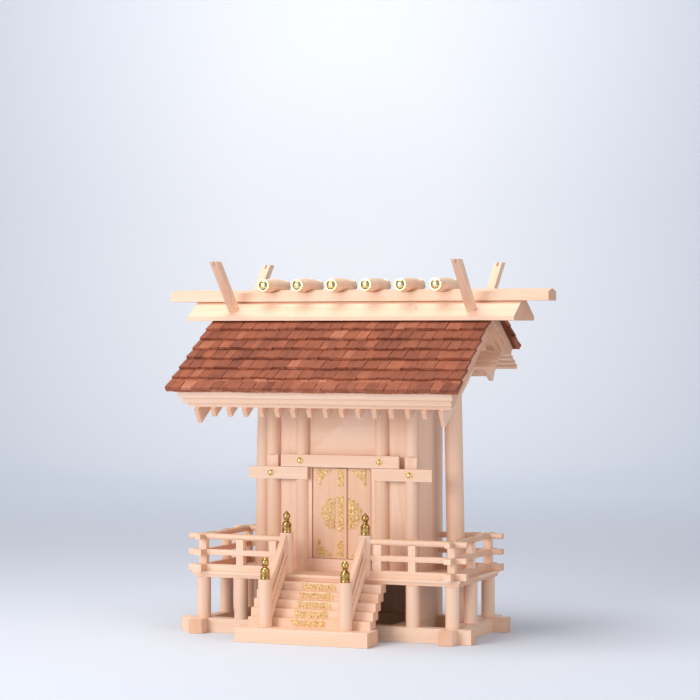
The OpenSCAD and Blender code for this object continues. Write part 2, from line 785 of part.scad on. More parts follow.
module ridge_boards() color(wood) placed() for (side = [-1, 1]) {
    foot = apex_z - ridge_board_reach * rise;
    along_x(-ridge_board_half, ridge_board_half, [
        [side * ridge_board_reach, foot],
        [side * ridge_board_reach, foot + ridge_board_edge],
        [side * (apex_z + ridge_board_edge - beam_z) / rise, beam_z],
        [side * (apex_z - beam_z) / rise, beam_z]]);
}

module ridge_end_blocks() color(wood) placed() both_sides() {
    foot = apex_z - ridge_board_reach * rise;
    flat = (apex_z - beam_z) / rise;
    along_x(shingle_end(ridge_board_reach / cp) + 1, ridge_board_half, [
        [-ridge_board_reach, foot], [ridge_board_reach, foot], [flat, beam_z], [-flat, beam_z]]);
}

module beam_shape() {
    h = ridge_beam_w / 2;
    side_top = beam_z + ridge_beam_side;
    along_x(-ridge_beam_len / 2, ridge_beam_len / 2, [
        [-h, beam_z], [h, beam_z], [h, side_top], [0, side_top + ridge_beam_crown], [-h, side_top]]);
}

module ridge_beam() color(wood) placed() beam_shape();

chigi_foot_y = ridge_beam_w / 2 + 11.69;
chigi_notch_w = 2.6;
chigi_notch_d = 5;
module chigi() color(wood) placed() both_sides() for (side = [-1, 1]) {
    foot = apex_z + ridge_board_edge - chigi_foot_y * rise;
    difference() {
        translate([chigi_x, side * chigi_foot_y, foot]) rotate([-side * chigi_lean, 0, 0])
            translate([-chigi_w / 2, -chigi_w / 2, -chigi_w])
                cube([chigi_w, chigi_w, 3 * chigi_rise]);
        block(0, ridge_beam_len, -apex_z, apex_z, apex_z + chigi_rise, 2 * apex_z);
        block(chigi_x - chigi_notch_w / 2, chigi_x + chigi_notch_w / 2, -apex_z, apex_z,
            apex_z + chigi_rise - chigi_notch_d, 2 * apex_z);
        along_x(0, ridge_beam_len, [
            [0, 0], [side * 3 * ridge_board_reach, 0],
            [side * 3 * ridge_board_reach, apex_z + ridge_board_edge - 3 * ridge_board_reach * rise],
            [0, apex_z + ridge_board_edge]]);
    }
}

function log_r(t) = log_end_d / 2 + (log_mid_d - log_end_d) / 2 * (1 - (2 * t - 1) * (2 * t - 1));

module each_log() for (i = [0:log_count - 1])
    translate([(i - (log_count - 1) / 2) * log_pitch, 0, log_z]) children();

log_steps = 10;
module ridge_logs() color(pale_wood) placed() difference() {
    each_log() rotate([90, 0, 0]) translate([0, 0, -log_len / 2]) rotate_extrude() polygon(concat(
        [[0, 0]],
        [for (i = [0:log_steps]) [log_r(i / log_steps), log_len * i / log_steps]],
        [[0, log_len]]));
    beam_shape();
}

module log_caps() color(gilt) placed() each_log() for (turn = [0, 180]) rotate([0, 0, turn])
    translate([0, -log_len / 2, 0]) rotate([90, 0, 0]) rotate_extrude() polygon([
        [0, 0], [cap_d / 2, 0], [cap_d / 2, 0.45 * cap_t], [0.43 * cap_d, 0.68 * cap_t],
        [0.3 * cap_d, 0.86 * cap_t], [0.15 * cap_d, 0.96 * cap_t], [0, cap_t]]);

cross_sills();
side_sills();
stair_base();
steps();
riser_plates();
newels();
newel_finials();
stair_handrails();
veranda_posts();
front_deck();
side_decks();
deck_frames();
rail_posts();
bottom_rails();
mid_rails();
top_rails();
rail_strips();
body_floor();
front_columns();
front_panels();
transom_panel();
side_walls();
rear_wall();
door_sill();
door_frame();
upper_nageshi();
lower_nageshi();
nageshi_studs();
left_door();
right_door();
astragal();
left_door_fittings();
right_door_fittings();
ridge_pillars();
wall_plates();
ridge_purlin();
front_rafters();
rear_rafters();
bargeboards();
gable_bars();
front_roof_boards();
rear_roof_boards();
front_shingles();
rear_shingles();
ridge_boards();
ridge_end_blocks();
ridge_beam();
chigi();
ridge_logs();
log_caps();
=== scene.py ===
import math
import random

import bpy
from mathutils import Matrix, Vector


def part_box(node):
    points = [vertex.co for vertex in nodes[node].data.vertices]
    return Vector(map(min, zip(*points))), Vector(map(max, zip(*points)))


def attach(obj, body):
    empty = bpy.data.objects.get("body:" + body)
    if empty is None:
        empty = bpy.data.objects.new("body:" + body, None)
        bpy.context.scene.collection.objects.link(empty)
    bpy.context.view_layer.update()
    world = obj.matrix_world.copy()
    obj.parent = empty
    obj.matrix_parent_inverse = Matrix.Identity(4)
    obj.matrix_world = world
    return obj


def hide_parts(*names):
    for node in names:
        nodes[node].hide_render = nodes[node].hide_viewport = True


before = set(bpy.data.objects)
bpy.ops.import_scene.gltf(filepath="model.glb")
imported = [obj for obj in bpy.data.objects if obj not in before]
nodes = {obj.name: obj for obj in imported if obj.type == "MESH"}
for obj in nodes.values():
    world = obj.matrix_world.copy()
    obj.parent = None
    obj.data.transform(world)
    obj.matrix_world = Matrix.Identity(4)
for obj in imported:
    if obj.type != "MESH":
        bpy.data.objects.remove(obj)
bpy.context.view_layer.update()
print("stage: frame loaded")


# helpers

def linear(hexCode):  # sRGB hex to linear colour
    parts = [int(hexCode[i:i + 2], 16) / 255 for i in (1, 3, 5)]
    return tuple(p / 12.92 if p < 0.04045 else ((p + 0.055) / 1.055) ** 2.4 for p in parts) + (1,)


def addNode(tree, kind, inputs=None, **settings):
    node = tree.nodes.new(kind)
    for key, value in settings.items():
        setattr(node, key, value)
    for key, value in (inputs or {}).items():
        if isinstance(value, bpy.types.NodeSocket):
            tree.links.new(value, node.inputs[key])
        else:
            node.inputs[key].default_value = value
    return node


def newMaterial(name):
    material = bpy.data.materials.new(name)
    material.use_nodes = True
    tree = material.node_tree
    return material, tree, tree.nodes["Principled BSDF"]


def ramp(tree, fac, stops):
    node = addNode(tree, "ShaderNodeValToRGB", {"Fac": fac})
    while len(node.color_ramp.elements) < len(stops):
        node.color_ramp.elements.new(0.5)
    for element, (at, colour) in zip(node.color_ramp.elements, stops):
        element.position = at
        element.color = linear(colour)
    return node.outputs["Color"]


def stretched(tree, vector, scale, detail=3):
    mapped = addNode(tree, "ShaderNodeMapping", {"Vector": vector, "Scale": scale})
    return addNode(tree, "ShaderNodeTexNoise", {
        "Vector": mapped.outputs[0], "Scale": 1, "Detail": detail, "Roughness": 0.55}).outputs[0]


def mixed(tree, fac, a, b, blend="MIX"):
    node = addNode(tree, "ShaderNodeMix", data_type="RGBA", blend_type=blend)
    for socket, value in ((node.inputs[0], fac), (node.inputs[6], a), (node.inputs[7], b)):
        if isinstance(value, bpy.types.NodeSocket):
            tree.links.new(value, socket)
        else:
            socket.default_value = value
    return node.outputs[2]


def scaled(tree, value, factor):
    return addNode(tree, "ShaderNodeMath", {0: value, 1: factor}, operation="MULTIPLY").outputs[0]


def added(tree, a, b):
    return addNode(tree, "ShaderNodeVectorMath", {0: a, 1: b}, operation="ADD").outputs[0]


wood = {
    "fine": (4.0, 620.0), "broad": (2.0, 55.0),  # along and across the grain
    "lined": 0.3, "ownTone": 0.16, "endTone": 0.55, "roughness": 0.52, "edge": 0.0004,
    "relief": 0.12, "depth": 0.0002,
}


def hinoki(name, grain, light="#fadecb", dark="#f3ceb2", end="#d89a72"):  # planed cypress
    material, tree, shader = newMaterial(name)
    coords = addNode(tree, "ShaderNodeTexCoord")
    island = addNode(tree, "ShaderNodeNewGeometry").outputs["Random Per Island"]
    shift = addNode(tree, "ShaderNodeCombineXYZ", {"X": island, "Y": island, "Z": island})
    moved = added(tree, coords.outputs["Object"], shift.outputs[0])
    fine = [wood["fine"][i != grain] for i in range(3)]
    broad = [wood["broad"][i != grain] for i in range(3)]
    lines = stretched(tree, moved, fine)
    bands = stretched(tree, moved, broad, 2)
    base = ramp(tree, bands, [(0.3, light), (0.72, dark)])
    lined = ramp(tree, lines, [(0.35, "#fff8ee"), (0.75, "#efccb0")])
    colour = mixed(tree, wood["lined"], base, lined, "MULTIPLY")
    colour = mixed(tree, scaled(tree, island, wood["ownTone"]), colour, linear("#e8b78f"))
    parts = addNode(tree, "ShaderNodeSeparateXYZ", {0: coords.outputs["Normal"]})
    along = addNode(tree, "ShaderNodeMath", {0: parts.outputs[grain]}, operation="ABSOLUTE")
    cut = addNode(tree, "ShaderNodeMapRange", {"Value": along.outputs[0], "From Min": 0.6, "From Max": 0.9})
    colour = mixed(tree, scaled(tree, cut.outputs[0], wood["endTone"]), colour, linear(end))
    tree.links.new(colour, shader.inputs["Base Color"])
    shader.inputs["Roughness"].default_value = wood["roughness"]
    shader.inputs["IOR"].default_value = 1.5
    edge = addNode(tree, "ShaderNodeBevel", {"Radius": wood["edge"]}, samples=4)
    bump = addNode(tree, "ShaderNodeBump", {
        "Strength": wood["relief"], "Distance": wood["depth"], "Height": lines, "Normal": edge.outputs[0]})
    tree.links.new(bump.outputs[0], shader.inputs["Normal"])
    return material


hinokiX = hinoki("hinoki_grain_x", 0)
hinokiY = hinoki("hinoki_grain_y", 1)
hinokiZ = hinoki("hinoki_grain_z", 2)
roundZ = hinoki("hinoki_turned_z", 2, "#f8dac6", "#f0cbb0")
roundX = hinoki("hinoki_turned_x", 0, "#f8dac6", "#f0cbb0")
roundY = hinoki("hinoki_turned_y", 1, "#fae3cd", "#f2d2b4")
doorWood = hinoki("hinoki_door", 2, "#f5d3ba", "#ebbf9f")


def metal(name, colour, hollowShade, roughness, scale, strength):  # base colour darker in the relief's hollows: painted shade
    material, tree, shader = newMaterial(name)
    spot = addNode(tree, "ShaderNodeTexCoord").outputs["Object"]
    noise = addNode(tree, "ShaderNodeTexNoise", {"Vector": spot, "Scale": scale, "Detail": 2}).outputs[0]
    # low parts of the bump noise take the darker colour: painted shade in the hollows
    tree.links.new(ramp(tree, noise, [(0.38, hollowShade), (0.56, colour)]), shader.inputs["Base Color"])
    shader.inputs["Metallic"].default_value = 1
    shader.inputs["Roughness"].default_value = roughness
    bump = addNode(tree, "ShaderNodeBump", {"Strength": strength, "Distance": 0.0003, "Height": noise})
    tree.links.new(bump.outputs[0], shader.inputs["Normal"])
    return material


giltPlate = metal("gilt_plate", "#ffeab0", "#dcab45", 0.3, 420, 0.3)
giltSmooth = metal("gilt_polished", "#f3dca2", "#e6c57c", 0.2, 120, 0.02)
brassTurned = metal("brass_turned", "#cfae6c", "#9c7838", 0.24, 160, 0.03)


bark = {
    "fibres": (900, 45, 45), "blotch": (60, 40, 40), "lined": 0.4, "stained": 0.3, "roughness": 0.72,
    "relief": 0.5, "depth": 0.0006,
}


def cedar():  # each shingle its own red brown, rough lines down the slope
    material, tree, shader = newMaterial("cedar_shingle")
    spot = addNode(tree, "ShaderNodeTexCoord").outputs["Object"]
    tone = addNode(tree, "ShaderNodeAttribute", attribute_name="tone").outputs["Fac"]
    offset = addNode(tree, "ShaderNodeCombineXYZ", {"X": tone, "Y": tone})
    moved = added(tree, spot, offset.outputs[0])
    fibres = stretched(tree, moved, bark["fibres"], 5)
    blotch = stretched(tree, moved, bark["blotch"], 3)
    own = ramp(tree, tone, [
        (0, "#74412b"), (0.3, "#8a5139"), (0.6, "#9f6246"), (0.86, "#b07358"), (1, "#c28b70")])
    lined = ramp(tree, fibres, [(0.32, "#64503f"), (0.6, "#cdb39a")])
    stain = ramp(tree, blotch, [(0.35, "#7d3a28"), (0.7, "#e0a890")])
    colour = mixed(tree, bark["lined"], own, lined, "OVERLAY")
    colour = mixed(tree, bark["stained"], colour, stain, "SOFT_LIGHT")
    tree.links.new(colour, shader.inputs["Base Color"])
    shader.inputs["Roughness"].default_value = bark["roughness"]
    shader.inputs["IOR"].default_value = 1.5
    bump = addNode(tree, "ShaderNodeBump", {
        "Strength": bark["relief"], "Distance": bark["depth"], "Height": fibres})
    tree.links.new(bump.outputs[0], shader.inputs["Normal"])
    return material


cedarShingle = cedar()
print("stage: materials")

# CAD pieces that show as they are
finish = {
    "cross_sills": hinokiX, "side_sills": hinokiY, "stair_base": hinokiX, "steps": hinokiX,
    "riser_plates": giltPlate, "newels": roundZ, "newel_finials": brassTurned, "stair_handrails": hinokiY,
    "veranda_posts": roundZ, "front_deck": hinokiX, "side_decks": hinokiY, "deck_frames": hinokiX,
    "rail_posts": hinokiZ, "bottom_rails": hinokiX, "mid_rails": hinokiX, "top_rails": roundX,
    "rail_strips": giltPlate, "body_floor": hinokiX, "front_columns": roundZ, "front_panels": hinokiZ,
    "transom_panel": hinokiX,
    "side_walls": hinokiZ, "rear_wall": hinokiZ, "door_sill": hinokiX, "door_frame": hinokiZ,
    "upper_nageshi": hinokiX, "lower_nageshi": hinokiX, "nageshi_studs": giltSmooth, "left_door": doorWood,
    "right_door": doorWood, "astragal": doorWood, "left_door_fittings": giltPlate,
    "right_door_fittings": giltPlate, "ridge_pillars": roundZ, "wall_plates": hinokiX,
    "ridge_purlin": hinokiX, "front_rafters": hinokiY, "rear_rafters": hinokiY, "bargeboards": hinokiY,
    "gable_bars": hinokiX, "front_roof_boards": hinokiX, "rear_roof_boards": hinokiX,
    "front_shingles": cedarShingle, "rear_shingles": cedarShingle, "ridge_boards": hinokiX,
    "ridge_end_blocks": hinokiX, "ridge_beam": hinokiX, "chigi": hinokiZ, "ridge_logs": roundY,
    "log_caps": giltSmooth,
}
for name, material in finish.items():
    piece = nodes[name]
    for i in range(len(piece.data.materials)):
        piece.data.materials[i] = material


# modelling helpers

def chain(name, points):  # joined points, drawn out one after another, left in edit mode
    bpy.ops.object.select_all(action="DESELECT")
    bpy.ops.mesh.primitive_plane_add(size=0.001, location=(0, 0, 0))
    piece = bpy.context.object
    piece.name = name
    bpy.ops.object.mode_set(mode="EDIT")
    bpy.ops.mesh.select_all(action="SELECT")
    bpy.ops.mesh.merge(type="CENTER")
    bpy.ops.transform.translate(value=points[0])
    for start, stop in zip(points, points[1:]):
        step = Vector(stop) - Vector(start)
        bpy.ops.mesh.extrude_region_move(TRANSFORM_OT_translate={"value": step})
    return piece


def lathe(name, profile, steps=40):
    piece = chain(name, [(r, 0, z) for r, z in profile])
    bpy.ops.mesh.select_all(action="SELECT")
    bpy.ops.mesh.spin(steps=steps, angle=2 * math.pi, center=(0, 0, 0), axis=(0, 0, 1))
    bpy.ops.mesh.select_all(action="SELECT")
    bpy.ops.mesh.remove_doubles(threshold=0.000005)
    bpy.ops.mesh.normals_make_consistent(inside=False)
    bpy.ops.object.mode_set(mode="OBJECT")
    bpy.ops.object.shade_smooth_by_angle(angle=math.radians(35))
    return piece


def wired(name, points, radius):  # a chain given round thickness
    chain(name, points)
    bpy.ops.object.mode_set(mode="OBJECT")
    bpy.ops.object.convert(target="CURVE")
    wire = bpy.context.object
    wire.data.bevel_depth = radius
    wire.data.bevel_resolution = 1
    wire.data.use_fill_caps = True
    bpy.ops.object.convert(target="MESH")
    bpy.ops.object.shade_smooth()
    return bpy.context.object


def joined(pieces, name):
    bpy.ops.object.select_all(action="DESELECT")
    for piece in pieces:
        piece.select_set(True)
    bpy.context.view_layer.objects.active = pieces[0]
    bpy.ops.object.join()
    whole = bpy.context.object
    whole.name = name
    return whole


def spread(piece, matrices, tones=None):  # one mesh of turned and moved copies
    made = []
    for i, matrix in enumerate(matrices):
        twin = piece.copy()
        twin.data = piece.data.copy()
        twin.data.transform(matrix)
        if tones:
            layer = twin.data.attributes.new("tone", "FLOAT", "POINT")
            layer.data.foreach_set("value", [tones[i]] * len(twin.data.vertices))
        bpy.context.collection.objects.link(twin)
        made.append(twin)
    name = piece.name
    bpy.data.objects.remove(piece)
    return joined(made, name)


def place(piece, material, body, stands=()):
    piece.data.materials.clear()
    piece.data.materials.append(material)
    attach(piece, body)
    if stands:
        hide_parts(*stands)


# shingles
shingle = {
    "pitch": math.radians(32.5), "apex": 0.441, "row": 0.0238, "step": 0.0035, "thick": 0.0096,
    "half": 0.198, "flare": 0.0047, "frontSlope": 0.216, "rearSlope": 0.114, "narrow": 0.0095, "wide": 0.021,
    "tilt": 0.146,
    "kinds": 6, "seed": 7, "inset": 0.0006, "least": 0.004, "sliver": 0.005, "under": 0.0029, "lap": 1.16,
    "wave": 0.0012, "ragged": 0.0016, "back": 0.0009, "drop": 0.0003, "yaw": 0.03, "fill": 0.965,
    "eave": [(-0.0060, -0.0032), (-0.0030, -0.0014), (0, 0)],  # height and reach of each eave layer
}
# the sheet under the shingles takes the darkest tone so the gaps read dark: painted shade
gapShadeBed = {"top": 0.012, "foot": 0.008, "inset": 0.004, "thick": 0.0056, "drop": 0.0039, "tone": 0.02}
ridgeY = (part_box("ridge_beam")[0][1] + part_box("ridge_beam")[1][1]) / 2


def shingleBlank(seed):  # one split shingle, a unit long and wide, its faces uneven
    bpy.ops.object.select_all(action="DESELECT")
    bpy.ops.mesh.primitive_cube_add(size=1, location=(0, -0.5, 0.5))
    piece = bpy.context.object
    bpy.ops.object.transform_apply(location=True)
    bpy.ops.object.mode_set(mode="EDIT")
    for cut, normal in (((0.16, 0, 0), (1, 0, 0)), ((-0.2, 0, 0), (1, 0, 0)), ((0, -0.12, 0), (0, 1, 0))):
        bpy.ops.mesh.select_all(action="SELECT")
        bpy.ops.mesh.bisect(plane_co=cut, plane_no=normal)
    bpy.ops.mesh.select_all(action="SELECT")
    bpy.ops.transform.vertex_random(offset=0.05, uniform=0.2, seed=seed)
    bpy.ops.object.mode_set(mode="OBJECT")
    return piece


def shingleRoof(name, side, slope):
    dice = random.Random(shingle["seed"] + side)
    pitch = shingle["pitch"]
    turn = Matrix(((side, 0, 0), (0, side * math.cos(pitch), side * math.sin(pitch)),
                   (0, -math.sin(pitch), math.cos(pitch)))).to_4x4()
    roof = Matrix.Translation((0, ridgeY, shingle["apex"])) @ turn
    rows = int((slope - shingle["thick"]) / shingle["row"])
    wanted = [[] for _ in range(shingle["kinds"])]
    tones = [[] for _ in range(shingle["kinds"])]
    for row in range(rows):
        tip = slope - row * shingle["row"]
        half = shingle["half"] + shingle["flare"] * tip / shingle["frontSlope"] - shingle["inset"]
        layers = [(0, 0)] if row else shingle["eave"]
        for low, back in layers:
            x = -half
            while x < half - shingle["least"]:
                width = min(dice.uniform(shingle["narrow"], shingle["wide"]), half - x)
                if half - x - width < shingle["sliver"]:
                    width = half - x
                thick = shingle["step"] * dice.uniform(0.86, 0.98) if low == 0 else shingle["under"]
                length = shingle["row"] * shingle["lap"]
                wave = shingle["wave"] * (1 + math.sin(9 * row + x * 70))
                ragged = wave + dice.uniform(0, shingle["ragged"])
                at = tip + back - shingle["back"] - ragged * (0.4 if low or not row else 1)
                spot = Matrix.Translation((x + width / 2, at, low - thick - shingle["drop"]))
                lean = Matrix.Rotation(shingle["tilt"] if low == 0 else 0, 4, "X")
                yaw = Matrix.Rotation(dice.uniform(-shingle["yaw"], shingle["yaw"]), 4, "Z")
                size = Matrix.Diagonal((width * shingle["fill"], length, thick, 1))
                kind = dice.randrange(shingle["kinds"])
                wanted[kind].append(roof @ spot @ yaw @ lean @ size)
                tones[kind].append(min(1, max(0, dice.gauss(0.5, 0.15) + (0.25 if low else 0))))
                x += width
    groups = []
    for kind in range(shingle["kinds"]):
        blank = shingleBlank(kind + 1)
        blank.name = f"{name}_kind{kind}"
        groups.append(spread(blank, wanted[kind], tones[kind]))
    whole = joined(groups + [shadeSheetUnder(slope, roof)], name)
    bpy.ops.object.mode_set(mode="EDIT")
    bpy.ops.mesh.select_all(action="SELECT")
    bpy.ops.mesh.normals_make_consistent(inside=False)
    bpy.ops.object.mode_set(mode="OBJECT")
    return whole


def shadeSheetUnder(slope, roof):  # sheet in the darkest shingle tone that shows in the gaps: painted shade between the shingles
    bpy.ops.object.select_all(action="DESELECT")
    bpy.ops.mesh.primitive_cube_add(size=1, location=(0, 0.5, -0.5))
    bed = bpy.context.object
    bpy.ops.object.transform_apply(location=True)
    top, foot = gapShadeBed["top"], slope - gapShadeBed["foot"]
    size = Matrix.Diagonal((2 * shingle["half"] - gapShadeBed["inset"], foot - top, gapShadeBed["thick"], 1))
    spot = Matrix.Translation((0, top, -gapShadeBed["drop"]))
    return spread(bed, [roof @ spot @ size], [gapShadeBed["tone"]])


for node, name, side, slope in (("front_shingles", "FrontShingles", -1, shingle["frontSlope"]),
                                ("rear_shingles", "RearShingles", 1, shingle["rearSlope"])):
    place(shingleRoof(name, side, slope), cedarShingle, "shrine", [node])
print("stage: shingles")

# turned finials on the newels
finial = {"height": 0.029, "radius": 0.0065}
finialProfile = [
    (0, 0), (0.92, 0), (0.98, 0.02), (0.92, 0.04), (0.92, 0.09), (1, 0.1), (1, 0.13), (0.93, 0.14),
    (0.93, 0.3), (1, 0.31), (1, 0.35), (0.93, 0.36), (0.93, 0.39), (0.84, 0.44), (0.62, 0.49), (0.44, 0.53),
    (0.42, 0.56), (0.62, 0.57), (0.62, 0.6), (0.46, 0.61), (0.6, 0.65), (0.74, 0.7), (0.78, 0.75),
    (0.72, 0.81), (0.54, 0.87), (0.32, 0.92), (0.15, 0.96), (0.05, 0.99), (0, 0.998),
]
blank = lathe("newelFinials", [(r * finial["radius"], z * finial["height"]) for r, z in finialProfile], 36)
low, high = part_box("newel_finials")
frontY, backY = low[1] + finial["radius"], high[1] - finial["radius"]
sideX = high[0] - finial["radius"]
lowZ, highZ = low[2], high[2] - finial["height"]
spots = [(x, y, z) for x in (-sideX, sideX) for y, z in ((frontY, lowZ), (backY, highZ))]
finials = spread(blank, [Matrix.Translation(spot) for spot in spots])
place(finials, brassTurned, "shrine", ["newel_finials"])

# gilt caps on the ridge logs
cap = {"radius": 0.0083, "height": 0.004, "pitch": 0.0495, "count": 6, "z": 0.461, "reach": 0.036}
capProfile = [(0, 0), (0.97, 0), (1, 0.06), (1, 0.42), (0.96, 0.5), (0.84, 0.52), (0.8, 0.5), (0.76, 0.55),
              (0.66, 0.7), (0.5, 0.84), (0.32, 0.94), (0.15, 0.98), (0, 0.99)]
blank = lathe("logCaps", [(r * cap["radius"], z * cap["height"]) for r, z in capProfile], 36)
spots = []
for i in range(cap["count"]):
    x = (i - (cap["count"] - 1) / 2) * cap["pitch"]
    for side in (-1, 1):
        turn = Matrix.Rotation(-side * math.pi / 2, 4, "X")
        spots.append(Matrix.Translation((x, ridgeY + side * cap["reach"], cap["z"])) @ turn)
caps = spread(blank, spots)
place(caps, giltSmooth, "shrine", ["log_caps"])

# domed studs on the lintel boards
stud = {"radius": 0.0046, "height": 0.0039, "inner": 0.0564}
studProfile = [(0, 0), (0.98, 0), (1, 0.1), (1, 0.2), (0.96, 0.28), (0.86, 0.28), (0.82, 0.24), (0.8, 0.3),
               (0.74, 0.56), (0.62, 0.76), (0.44, 0.9), (0.22, 0.98), (0, 0.995)]
blank = lathe("lintelStuds", [(r * stud["radius"], z * stud["height"]) for r, z in studProfile], 32)
low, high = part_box("nageshi_studs")
outer, inner = high[0] - stud["radius"], stud["inner"]
spots = []
for x, z in ((outer, low[2] + stud["radius"]), (inner, high[2] - stud["radius"])):
    for side in (-1, 1):
        spots.append(Matrix.Translation((side * x, high[1], z)) @ Matrix.Rotation(math.pi / 2, 4, "X"))
studs = spread(blank, spots)
place(studs, giltSmooth, "shrine", ["nageshi_studs"])
print("stage: turned metal")

# pierced scrollwork on the doors and the risers
scroll = {"wire": 0.0005, "pitch": 0.0046, "turns": 1.35, "points": 15, "leafSink": 0.8, "sink": 0.6}


def scrollBlank(name):  # one curl of wire, flat in X and Z
    points = []
    for i in range(scroll["points"]):
        t = i / (scroll["points"] - 1)
        angle = 2 * math.pi * scroll["turns"] * t
        reach = scroll["pitch"] * (0.62 - 0.5 * t)
        points.append((reach * math.cos(angle), 0, reach * math.sin(angle)))
    return wired(name, points, scroll["wire"])


def scrollField(name, y, regions):  # a staggered grid of curls; each region is x0, x1, z0, z1, test
    spots = []
    for x0, x1, z0, z1, inside in regions:
        pitch = scroll["pitch"]
        across = max(1, round((x1 - x0) / pitch))
        up = max(1, round((z1 - z0) / (pitch * 0.9)))
        for i in range(across):
            for j in range(up):
                x = x0 + (i + 0.5) * (x1 - x0) / across
                z = z0 + (j + 0.5) * (z1 - z0) / up
                if inside(x, z):
                    turn = Matrix.Rotation(math.radians(90) * (i + 2 * j), 4, "Y")
                    flip = Matrix.Rotation(math.pi * ((i + j) % 2), 4, "X")
                    spots.append(Matrix.Translation((x, y, z)) @ turn @ flip)
    return spread(scrollBlank(name), spots)


def anywhere(x, z):
    return True


doorway = {
    "foot": 0.0977, "head": 0.2171, "topGap": 0.0015, "lowGap": 0.0025,
    "edge": 0.0346,  # clear of the jamb when the door is open
    "reach": 0.0195, "fall": 0.022, "tall": 0.0215, "border": 0.005,
    "ringZ": 0.1573, "ringOut": 0.025, "ringTall": 0.024, "ringNear": 0.0092, "ringFar": 0.0285,
}


def inRing(x, z):  # a lobed medallion
    lobes = 1 + 0.06 * math.cos(8 * math.atan2(z - doorway["ringZ"], x))
    return math.hypot(x / 1.1, z - doorway["ringZ"]) < doorway["ringOut"] * lobes


def doorRegions(side):  # corner pieces and half ring of one leaf
    edge, reach, fall, tall = (doorway[key] for key in ("edge", "reach", "fall", "tall"))
    topZ, lowZ = doorway["head"] - doorway["topGap"], doorway["foot"] + doorway["lowGap"]

    def inTop(x, z):
        return (edge - abs(x)) / reach + (topZ - z) / fall < 1.02 or edge - abs(x) < doorway["border"]

    def inLow(x, z):
        return (edge - abs(x)) / reach + (z - lowZ) / fall < 1.02 or edge - abs(x) < doorway["border"]

    span = sorted((side * edge, side * (edge - reach)))
    ring = sorted((side * doorway["ringNear"], side * doorway["ringFar"]))
    ringLow, ringHigh = doorway["ringZ"] - doorway["ringTall"], doorway["ringZ"] + doorway["ringTall"]
    return [
        (span[0], span[1], topZ - tall, topZ, inTop),
        (span[0], span[1], lowZ, lowZ + tall, inLow),
        (ring[0], ring[1], ringLow, ringHigh, inRing),
    ]


strip = {"half": 0.0048, "tall": 0.0235, "footGap": 0.002, "headGap": 0.001}
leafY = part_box("left_door")[0][1] - scroll["wire"] * scroll["leafSink"]
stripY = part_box("astragal")[0][1] - scroll["wire"] * scroll["sink"]
leafScrolls = scrollField("leftLeafScrolls", leafY, doorRegions(-1))
strips = [(-strip["half"], strip["half"], z0, z1, anywhere) for z0, z1 in (
    (doorway["foot"] + strip["footGap"], doorway["foot"] + strip["tall"]),
    (doorway["ringZ"] - strip["tall"], doorway["ringZ"] + strip["tall"]),
    (doorway["head"] - strip["tall"], doorway["head"] - strip["headGap"]))]
stripScrolls = scrollField("stripScrolls", stripY, strips)
rightScrolls = scrollField("rightLeafScrolls", leafY, doorRegions(1))
place(leafScrolls, giltPlate, "left_leaf")
place(stripScrolls, giltPlate, "left_leaf", ["left_door_fittings"])
place(rightScrolls, giltPlate, "right_leaf", ["right_door_fittings"])

riser = {
    "half": 0.0235, "rise": 0.0108, "run": 0.0092, "steps": 5, "inset": 0.0006, "low": 0.0005, "high": 0.009,
}
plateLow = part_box("riser_plates")[0]
riserGroups = []
for i in range(riser["steps"]):
    z0 = plateLow[2] + i * riser["rise"]
    y = plateLow[1] + riser["inset"] + i * riser["run"] - scroll["wire"] * scroll["sink"]
    riserGroups.append(scrollField(f"riser{i}", y, [
        (-riser["half"], riser["half"], z0 + riser["low"], z0 + riser["high"], anywhere)]))
riserScrolls = joined(riserGroups, "riserScrolls")
place(riserScrolls, giltPlate, "shrine", ["riser_plates"])

# gilt vines along the top rails
vine = {
    "length": 0.026, "sway": 0.0012, "wire": 0.0004, "points": 27, "lift": 0.0002, "sink": 0.0006,
    "inset": 0.005, "frontX": (0.08, 0.1212, 0.173), "rearX": 0.165, "sideX": 0.175,
    "fromFront": 0.022, "fromBack": 0.02,
}


def vineBlank(name):  # a thin wavy stem
    points = []
    for i in range(vine["points"]):
        t = i / (vine["points"] - 1)
        points.append(((t - 0.5) * vine["length"], vine["sway"] * math.sin(6 * math.pi * t),
                       vine["lift"] * math.cos(12 * math.pi * t)))
    return wired(name, points, vine["wire"])


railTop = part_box("rail_strips")[1][2] - vine["sink"] + vine["wire"] * 0.5
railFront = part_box("rail_posts")[0][1] + vine["inset"]
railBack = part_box("rail_posts")[1][1] - vine["inset"]
spots = []
for side in (-1, 1):
    for x in vine["frontX"]:
        spots.append(Matrix.Translation((side * x, railFront, railTop)))
    spots.append(Matrix.Translation((side * vine["rearX"], railBack, railTop)))
    for y in (railFront + vine["fromFront"], (railFront + railBack) / 2, railBack - vine["fromBack"]):
        turn = Matrix.Rotation(math.pi / 2, 4, "Z")
        spots.append(Matrix.Translation((side * vine["sideX"], y, railTop)) @ turn)
vines = spread(vineBlank("railVines"), spots)
place(vines, giltPlate, "shrine", ["rail_strips"])

